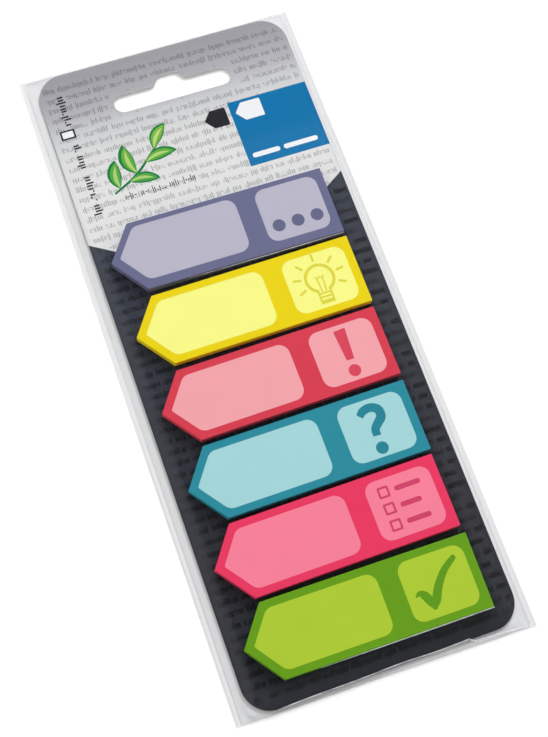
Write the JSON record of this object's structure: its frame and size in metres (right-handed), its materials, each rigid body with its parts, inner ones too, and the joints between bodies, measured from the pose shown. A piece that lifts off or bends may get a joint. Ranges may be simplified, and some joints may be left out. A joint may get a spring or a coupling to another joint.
{
  "type": "sticky index tabs",
  "caption": "Column of arrow-shaped sticky index tab pads on a flat rounded backing card with a hang slot, packed in a thin clear film sleeve, lying on its back.",
  "frame": {"origin": "middle of the sleeve's back, on the table", "axes": "+X across the card towards the square ends of the tabs, +Y up the card towards the hang slot, +Z out of the card's printed face"},
  "size_m": [0.071, 0.1666, 0.0026],
  "materials": {
    "card": "smooth printed card, light grey towards the hang slot and near-black below, with rows of fine grey print",
    "violet_paper": "matte printed paper, violet border and pale lilac panels",
    "yellow_paper": "matte printed paper, yellow border and pale yellow panels",
    "red_paper": "matte printed paper, red border and pale salmon panels",
    "teal_paper": "matte printed paper, teal border and pale aqua panels",
    "pink_paper": "matte printed paper, deep pink border and light pink panels",
    "green_paper": "matte printed paper, green border and lime panels",
    "clear_film": "clear glossy film, 0.06 mm, lightly creased"
  },
  "bodies": {
    "root": {"backing_card": "card", "violet_pad": "violet_paper", "yellow_pad": "yellow_paper", "red_pad": "red_paper", "teal_pad": "teal_paper", "pink_pad": "pink_paper", "green_pad": "green_paper", "clear_sleeve": "clear_film"}
  },
  "joints": []
}
